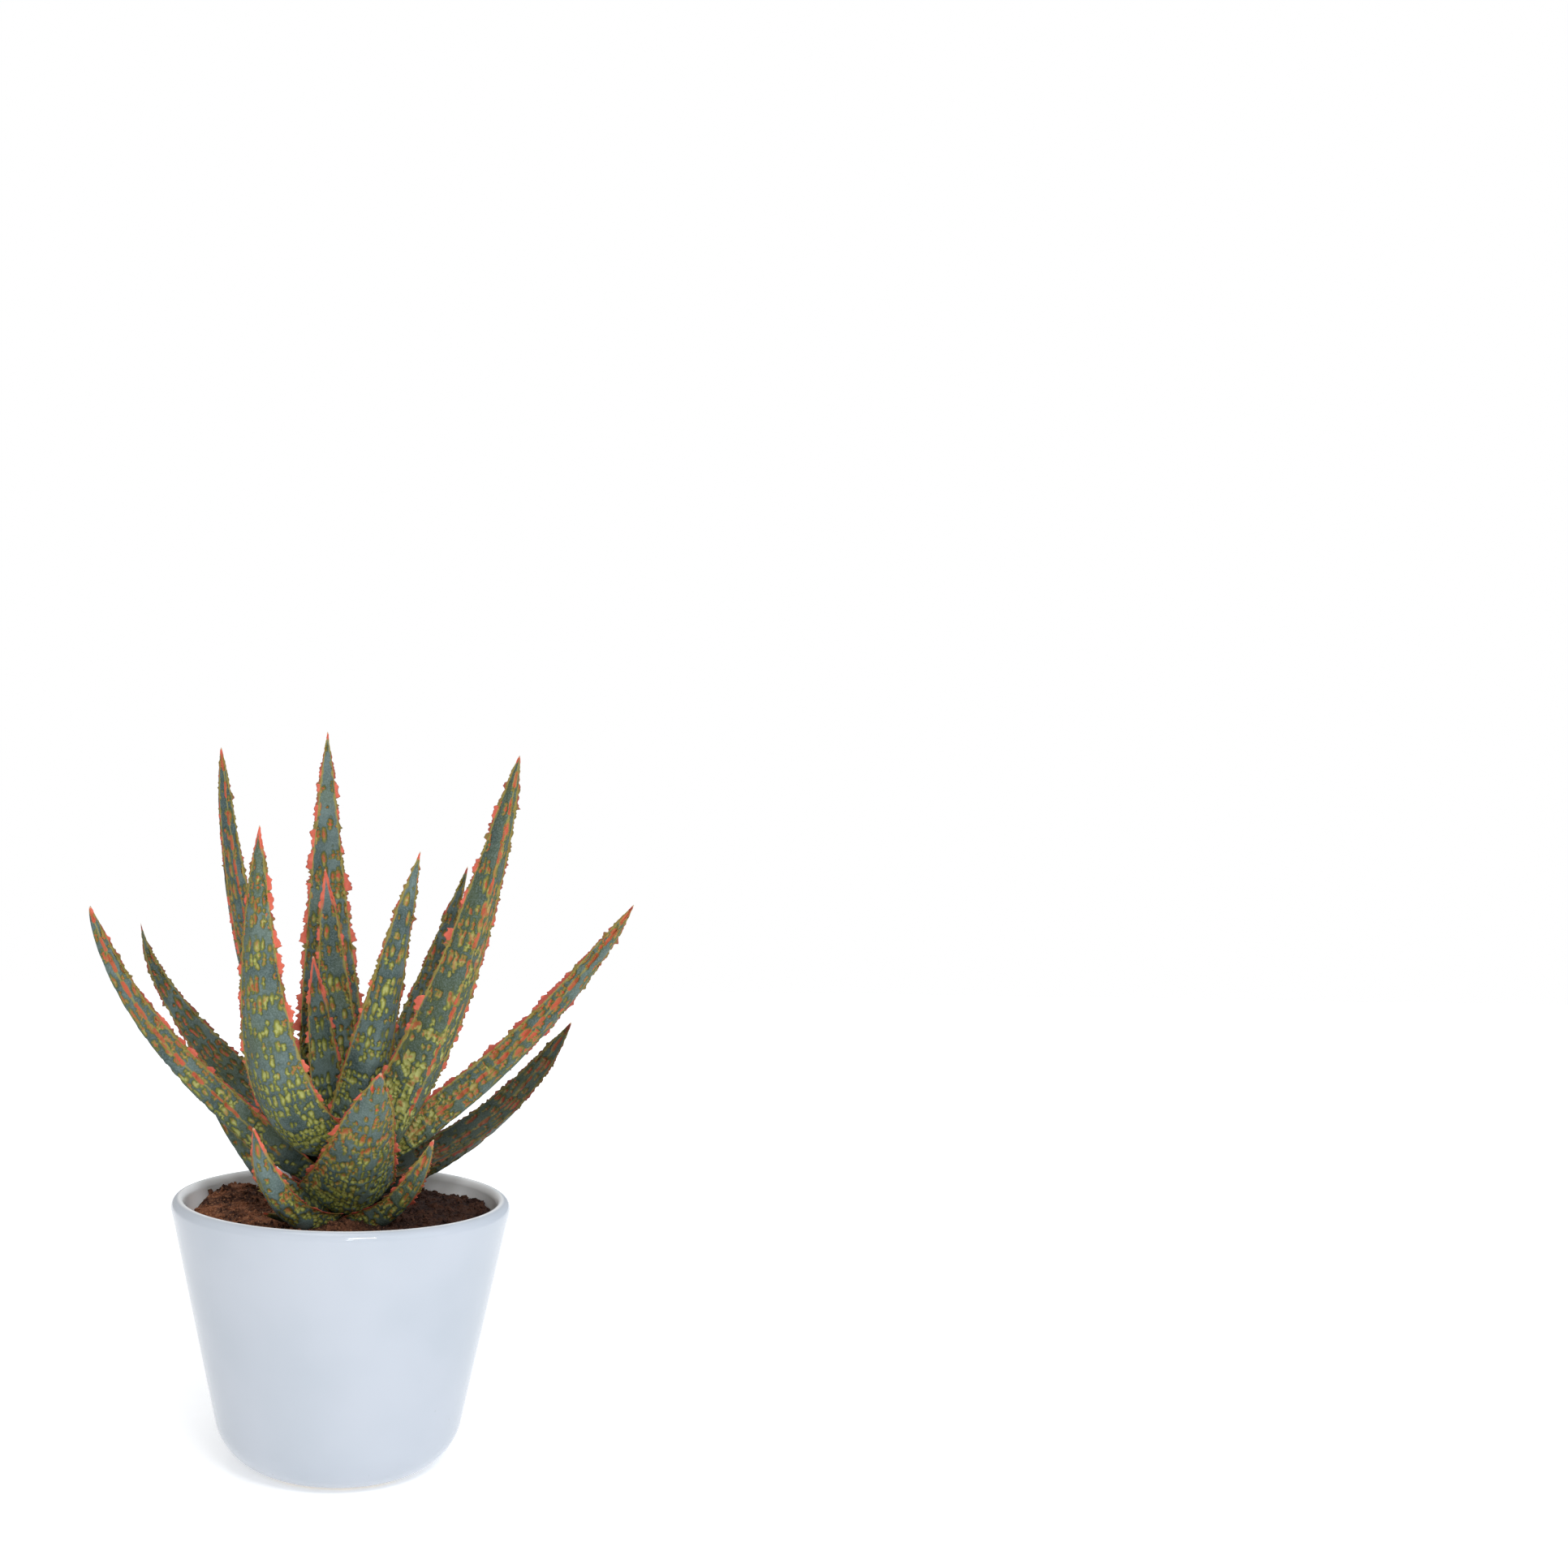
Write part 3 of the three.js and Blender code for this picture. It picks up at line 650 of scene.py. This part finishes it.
    teeth = np.where(across < 0, leaf["teeth"][0], leaf["teeth"][1])
    values = {  # on the leaf, at the middle of its foot and at its tip
        "along": (along[:, None] * mm, 0, length * mm), "girth": (girth * mm, 0, 0),
        "half": (halfGirth * mm, mm, mm), "face": (face, 1, 1), "blade": (blade, 0, 0),
        "share": ((along / length)[:, None], 0, 1), "toTip": ((length - along)[:, None] * mm, length * mm, 0),
        "teeth": (teeth, 0, 0), "seed": (seed, seed, seed),
    }
    for label in ("keel", "keelAt", "redness", "olive", "dark", "spots", "tipLength", "rimLength"):
        values[label] = (leaf[label], leaf[label], leaf[label])
    for label, (body, atFoot, atTip) in values.items():
        flat = np.broadcast_to(body, (count, columns)).reshape(-1)
        layer = mesh.attributes.new(label, "FLOAT", "POINT")
        layer.data.foreach_set("value", np.concatenate([flat, [atFoot, atTip]]).astype(np.float32))
    direction = side[:, None, :] * (np.sign(across) * (blade > 0))[None, :, None]
    direction = np.concatenate([direction.reshape(-1, 3), np.zeros((2, 3))])
    layer = mesh.attributes.new("outward", "FLOAT_VECTOR", "POINT")
    layer.data.foreach_set("vector", direction.astype(np.float32).ravel())
    return mesh


for number, (name, leaf) in enumerate(leaves.items()):
    piece = newObject(name + "_leaf", leafMesh(name, {**leafLook, **leaf}, number + 1.0))
    grow(piece, skinTree, material=leafMaterial)
    fitPiece(piece, "leaf", "leaf_" + name)
print("leaves grown:", len(leaves))


# The pot: one turned profile, glazed all over but for a thin ring at the foot.
pot = {"wall": 5.2 * mm, "footFlat": 26 * mm, "footRounding": 22.5 * mm, "lipDrop": 3.5 * mm,
       "crownShare": 0.4, "flatShare": 0.5,
       "sides": 180, "footSteps": 16, "wallSteps": 26, "lipSteps": 10}
glazePaint = {
    "bluish": linear(180, 187, 196), "pale": linear(186, 192, 201), "inside": linear(246, 247, 248),
    "speck": linear(120, 116, 110), "bareClay": linear(206, 196, 180),
    "roughness": 0.06, "roughnessSpread": 0.03, "bareRoughness": 0.6,
    "insideFrom": 2.5 * mm, "insideTo": 4 * mm, "insideLow": 60 * mm, "insideHigh": 80 * mm,
    "bareBelow": 1.0 * mm, "bareFull": 0.6 * mm, "bareWander": 0.8 * mm,
    "specksBelow": 45 * mm, "specksFull": 8 * mm, "speckDistance": 9 * mm, "waveLength": 45 * mm,
}
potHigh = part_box("pot")[1]
rimRadius, potHeight = potHigh.x, potHigh.z


def circle(radius, sides):
    angles = [2 * math.pi * i / sides for i in range(sides)]
    return [(radius * math.cos(angle), radius * math.sin(angle)) for angle in angles]


def turnedFaces(rings, sides):  # a skin over a first point on the axis, rings of points and a last point
    faces = []
    for i in range(sides):
        following = (i + 1) % sides
        faces.append((0, 1 + following, 1 + i))
        for ring in range(rings - 1):
            a = 1 + ring * sides
            faces.append((a + i, a + following, a + sides + following, a + sides + i))
        a = 1 + (rings - 1) * sides
        faces.append((a + i, a + following, a + sides))
    return faces


def turnedMesh(name, profile, sides):  # a closed skin from one end of the axis to the other
    points = [(0.0, 0.0, profile[0][1])]
    for radius, z in profile[1:-1]:
        points += [(x, y, z) for x, y in circle(radius, sides)]
    points.append((0.0, 0.0, profile[-1][1]))
    return meshFrom(name, points, turnedFaces(len(profile) - 2, sides))


footCentre = Vector((pot["footFlat"], pot["footRounding"]))
lipOuter = Vector((rimRadius, potHeight - pot["lipDrop"]))
toLip = lipOuter - footCentre
wallTurn = math.atan2(toLip.y, toLip.x) - math.acos(pot["footRounding"] / toLip.length)
wallLean = math.tan(wallTurn)


def footArc(depth, steps):
    radius = pot["footRounding"] - depth
    turns = [-math.pi / 2 + (wallTurn + math.pi / 2) * i / steps for i in range(steps + 1)]
    return [(footCentre.x + radius * math.cos(a), footCentre.y + radius * math.sin(a)) for a in turns]


def wallRadius(z, depth):
    return lipOuter.x - depth / math.cos(wallTurn) + (lipOuter.y - z) * wallLean


def potProfile():
    outer = footArc(0, pot["footSteps"])
    inner = footArc(pot["wall"], pot["footSteps"])
    lipInner = wallRadius(lipOuter.y, pot["wall"])
    crown = lipInner + (rimRadius - lipInner) * pot["crownShare"]
    steps = pot["wallSteps"]
    heights = [outer[-1][1] + (lipOuter.y - outer[-1][1]) * i / steps for i in range(1, steps + 1)]
    wall = [(wallRadius(z, 0), z) for z in heights]
    lip = []
    for i in range(1, 2 * pot["lipSteps"] + 1):
        angle = math.pi / 2 * i / pot["lipSteps"]
        span = rimRadius - crown if i <= pot["lipSteps"] else crown - lipInner
        lip.append((crown + span * math.cos(angle), lipOuter.y + pot["lipDrop"] * math.sin(angle)))
    back = [(wallRadius(z, pot["wall"]), z) for z in reversed(heights[:-1])]
    flat = [(0.0, 0.0), (pot["footFlat"] * pot["flatShare"], 0.0)]
    insideFlat = [(inner[0][0] * pot["flatShare"], pot["wall"]), (0.0, pot["wall"])]
    return flat + outer + wall + lip + back + inner[::-1] + insideFlat


def buildGlaze():
    material, nodes, shader = newMaterial("white_glaze", IOR=1.42)
    where = objectPlace(nodes)
    x, y, height = split(where)
    waves = noise(where, 1 / glazePaint["waveLength"], 2.0)
    fine = noise(where, 1 / (3.5 * mm), 2.0)
    specks = nodes.add("ShaderNodeTexVoronoi", None,
                       {"Vector": where, "Scale": 1 / glazePaint["speckDistance"]})
    low = ramp(height, glazePaint["specksBelow"], glazePaint["specksFull"])
    speck = ramp(specks, 0.05, 0.03) * ramp(noise(where, 1 / (11 * mm)), 0.5, 0.62) * low
    bareEdge = height + (noise(where, 1 / (6 * mm)) - 0.5) * glazePaint["bareWander"]
    bare = ramp(bareEdge, glazePaint["bareBelow"], glazePaint["bareFull"])
    # the wall's depth below its outside tells where the inner wall is
    wall = (lipOuter.y - height) * wallLean + lipOuter.x - lengthOf(vector(nodes, x, y))
    inside = ramp(wall, glazePaint["insideFrom"], glazePaint["insideTo"]) \
        * ramp(height, glazePaint["insideLow"], glazePaint["insideHigh"])
    color = tint(ramp(waves, 0.3, 0.7), glazePaint["bluish"], glazePaint["pale"])
    color = tint(inside, color, glazePaint["inside"])
    color = tint(speck * 0.55, color, glazePaint["speck"])
    color = tint(bare, color, glazePaint["bareClay"])
    feed(shader, "Base Color", color)
    spread = (fine - 0.5) * glazePaint["roughnessSpread"]
    feed(shader, "Roughness", glazePaint["roughness"] + spread + bare * glazePaint["bareRoughness"])
    feed(shader, "Normal", bump(nodes, waves + fine * 0.04, 0.25, 0.6 * mm))
    return material


potPiece = newObject("glazed_pot", turnedMesh("glazed_pot", potProfile(), pot["sides"]))
potPiece.data.materials.append(buildGlaze())
fitPiece(potPiece, "pot_glaze", "pot")
print("pot turned")


# The soil: a lumpy bed that follows the solid soil's mounds, strewn with crumbs.
soil = {"level": 97, "clearance": 0.3, "edgeGap": 0.3, "rings": 56, "sides": 200, "footSteps": 6,
        "density": 260000.0, "smallest": 0.8 * mm, "largest": 3.4 * mm, "roughness": 1.6 * mm, "seed": 5,
        "turns": (6.28, 6.28, 6.28), "flattest": (0.6, 0.6, 0.5), "longest": (1.4, 1.2, 1.0),
        "turnSeed": 3, "sizeSeed": 9, "stretchSeed": 12, "lumpLength": 9 * mm,
        "crumbLeast": 0.7, "crumbMost": 1.25, "crumbSeed": 7, "crumbsAbove": 80 * mm}
soilLumps = [(-43, 30, 5, 10), (-52, -4, -3, 10), (22, 46, 1.5, 10), (46, 14, 2, 13), (32, -40, -2, 13),
             (-20, -45, 1, 11), (0, 0, 2, 20)]  # x, y, height and spread in millimetres
soilPaint = {
    "deep": linear(64, 38, 28), "warm": linear(132, 84, 58), "fibre": linear(188, 132, 92),
    "hollowShade": linear(30, 18, 14), "rightShade": linear(34, 18, 16),
    "rightShadeFrom": -25, "rightShadeTo": 30, "rightShadeWander": 40, "rightShadeShare": 0.8,  # painted shade: the right side is darker; mm across
}


def soilHeight(x, y):
    z = soil["level"]
    for lumpX, lumpY, height, spread in soilLumps:
        z += height * math.exp(-0.5 * (math.hypot(x - lumpX, y - lumpY) / spread) ** 2)
    return z * mm


def soilMesh():
    inside = pot["wall"] + soil["clearance"] * mm
    edge = wallRadius(soil["level"] * mm, inside) - soil["edgeGap"] * mm
    sides = soil["sides"]
    points = [(0.0, 0.0, inside)]
    for radius, z in footArc(inside, soil["footSteps"]):
        points += [(x, y, z) for x, y in circle(radius, sides)]
    for ring in range(soil["rings"]):
        radius = edge * (1 - ring / soil["rings"])
        points += [(x, y, soilHeight(x / mm, y / mm)) for x, y in circle(radius, sides)]
    points.append((0.0, 0.0, soilHeight(0, 0)))
    return meshFrom("soil_bed", points, turnedFaces((len(points) - 2) // sides, sides))


def crumbMesh():  # a small rough lump of few faces, about 1 m across before it is scaled
    bpy.ops.mesh.primitive_ico_sphere_add(subdivisions=1, radius=0.5)
    lump = bpy.context.object
    generator = np.random.default_rng(soil["crumbSeed"])
    for vertex in lump.data.vertices:
        vertex.co *= generator.uniform(soil["crumbLeast"], soil["crumbMost"])
    lump.name = "crumb_shape"
    return lump


def buildSoilMaterial():
    material, nodes, shader = newMaterial("peat_soil", Specular_IOR_Level=0.25)
    where = objectPlace(nodes)
    clumps = noise(where, 1 / (7 * mm), 3.0)
    fine = noise(where, 1 / (0.9 * mm), 3.0, 0.7)
    across = split(where)[0] / mm + (clumps - 0.5) * soilPaint["rightShadeWander"]
    rightShade = ramp(across, soilPaint["rightShadeFrom"], soilPaint["rightShadeTo"]) * soilPaint["rightShadeShare"]
    color = tint(ramp(clumps, 0.38, 0.62), soilPaint["deep"], soilPaint["warm"])
    color = tint(ramp(fine, 0.52, 0.68) * 0.7, color, soilPaint["fibre"])
    # painted shade: near-black in the low spots of the fine bump, the hollows of the peat
    color = tint(ramp(fine, 0.46, 0.32) * 0.8, color, soilPaint["hollowShade"])
    # painted shade: the soil darkens towards the right side
    color = tint(rightShade, color, soilPaint["rightShade"])
    feed(shader, "Base Color", color)
    feed(shader, "Roughness", 0.95 - ramp(fine, 0.5, 0.7) * 0.12)
    feed(shader, "Normal", bump(nodes, fine, 0.8, 0.5 * mm))
    return material


def buildCrumbTree():
    nodes, entry = newTree("soilCrumbs", crumb="NodeSocketObject", density=soil["density"],
                           smallest=soil["smallest"], largest=soil["largest"], roughness=soil["roughness"],
                           seed=soil["seed"], material="NodeSocketMaterial")
    position = nodes.add("GeometryNodeInputPosition")
    height = split(position)[2]
    top = height > soil["crumbsAbove"]
    lumps = noise(position, 1 / soil["lumpLength"], 3.0) - 0.5
    lift = vector(nodes, 0.0, 0.0, lumps * entry.out("roughness") * 2)
    rough = nodes.add("GeometryNodeSetPosition", None, {"Geometry": entry, "Selection": top, "Offset": lift})
    spots = nodes.add("GeometryNodeDistributePointsOnFaces", None,
                      {"Mesh": rough, "Selection": top, "Density": entry.out("density"),
                       "Seed": entry.out("seed")})
    turn = randomVector(nodes, (0, 0, 0), soil["turns"], soil["turnSeed"])
    pick = randomShare(nodes, soil["sizeSeed"])
    size = blend(pick * pick * pick, entry.out("smallest"), entry.out("largest"))  # small crumbs are the most
    stretch = randomVector(nodes, soil["flattest"], soil["longest"], soil["stretchSeed"])
    crumb = nodes.add("GeometryNodeObjectInfo", None, {"Object": entry.out("crumb")}, "Geometry")
    strewn = nodes.add("GeometryNodeInstanceOnPoints", None,
                       {"Points": spots, "Instance": crumb, "Rotation": turn, "Scale": scaled(stretch, size)})
    return endTree(nodes.add("GeometryNodeJoinGeometry", None, {0: [rough, strewn]}), entry.out("material"))


soilPiece = newObject("peat_bed", soilMesh())
crumbShape = crumbMesh()
soilMaterial = buildSoilMaterial()
grow(soilPiece, buildCrumbTree(), crumb=crumbShape, material=soilMaterial)
bpy.data.objects.remove(crumbShape)
fitPiece(soilPiece, "soil", "soil")
print("soil strewn")


# The stem: short and fleshy, with the scars of shed leaves. Its solid's own shape is right, so it stays.
stemPaint = {"flesh": linear(92, 84, 48), "scar": linear(140, 130, 78), "dry": linear(84, 64, 44),
             "scarPitch": 2.2 * mm, "wobbleLength": 8 * mm}


def buildStemMaterial():
    material, nodes, shader = newMaterial("fleshy_stem")
    where = objectPlace(nodes)
    height = split(where)[2]
    wobble = noise(where, 1 / stemPaint["wobbleLength"], 2.0)
    scars = noise(vector(nodes, height / stemPaint["scarPitch"] + wobble * 2, wobble), 1.0, 1.0)
    color = tint(ramp(scars, 0.4, 0.6), stemPaint["flesh"], stemPaint["scar"])
    color = tint(ramp(wobble, 0.5, 0.8), color, stemPaint["dry"])
    feed(shader, "Base Color", color)
    feed(shader, "Roughness", 0.75 + (wobble - 0.5) * 0.2)
    feed(shader, "Normal", bump(nodes, scars, 0.7, 0.5 * mm))
    return material


stemMaterial = buildStemMaterial()
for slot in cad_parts["stem"].material_slots:
    slot.material = stemMaterial
print("stem finished")


# The studio: a plain pale floor that glows, less near the pot as a painted soft shadow, a white surround and
# soft lights.
studio = {"floorHalf": 2.5, "shadedFloorGlow": 0.36, "floorFar": 0.6, "nearReach": 0.15, "farReach": 0.7,
          "ambientLeft": (0.50, 0.49, 0.48), "ambientRight": (0.57, 0.61, 0.66)}
studioLights = {  # place and target in metres, size, power in watts and colour
    "key": ((0.8, -0.55, 0.65), (0, 0, 0.12), (0.7, 0.9), 1.9, (0.92, 0.96, 1.0)),
    "fill": ((-0.7, -0.8, 0.5), (0, 0, 0.12), (0.6, 0.6), 0.7, (1, 1, 1)),
    "top": ((-0.1, -0.1, 1.2), (0, 0, 0.12), (0.6, 0.6), 2.6, (1, 1, 1)),
    "window": ((0.3, -1.1, 1.0), (0, 0, 0.1), (0.4, 0.08), 6.0, (1, 1, 1)),  # the streaks on the glaze
    "low_window": ((0.12, -1.3, 0.62), (0, 0, 0.1), (0.16, 0.05), 1.5, (1, 1, 1)),
}


def areaLight(name, place, target, size, power, color):
    light = bpy.data.lights.new(name, "AREA")
    light.shape = "RECTANGLE"
    light.size, light.size_y = size
    light.energy = power
    light.color = color
    made = newObject(name, light)
    made.location = place
    made.rotation_euler = (Vector(target) - Vector(place)).to_track_quat("-Z", "Y").to_euler()


reach = studio["floorHalf"]
corners = [(-reach, -reach, 0), (reach, -reach, 0), (reach, reach, 0), (-reach, reach, 0)]
floor = newObject("floor", meshFrom("floor", corners, [(0, 1, 2, 3)], smooth=False))
floorMaterial, floorNodes, floorShader = newMaterial("pale_floor", Base_Color=(0.92, 0.92, 0.92, 1),
                                                     Roughness=0.9, Emission_Strength=1.0)
# painted shade: the floor's glow is dimmer near the pot, a soft shadow round it, and far off it glows to
# plain white
fromPot = ramp(lengthOf(objectPlace(floorNodes)), studio["nearReach"], studio["farReach"])
shadedGlow = (*[studio["shadedFloorGlow"]] * 3, 1)
far = (*[studio["floorFar"]] * 3, 1)
feed(floorShader, "Emission Color", tint(fromPot, shadedGlow, far))
floor.data.materials.append(floorMaterial)

world = bpy.data.worlds.new("surround")
world.use_nodes = True
worldNodes = Nodes(world.node_tree)
background = world.node_tree.nodes["Background"]
seen = worldNodes.add("ShaderNodeLightPath", None, None, "Is Camera Ray")
towards = split(worldNodes.add("ShaderNodeTexCoord", None, None, "Generated"))[0]
ambient = tint(ramp(towards, -0.8, 0.8), (*studio["ambientLeft"], 1), (*studio["ambientRight"], 1))
feed(background, "Color", tint(seen, ambient, (1, 1, 1, 1)))
bpy.context.scene.world = world
for name, settings in studioLights.items():
    areaLight(name, *settings)
bpy.context.scene.view_settings.view_transform = "Standard"
print("studio lit")
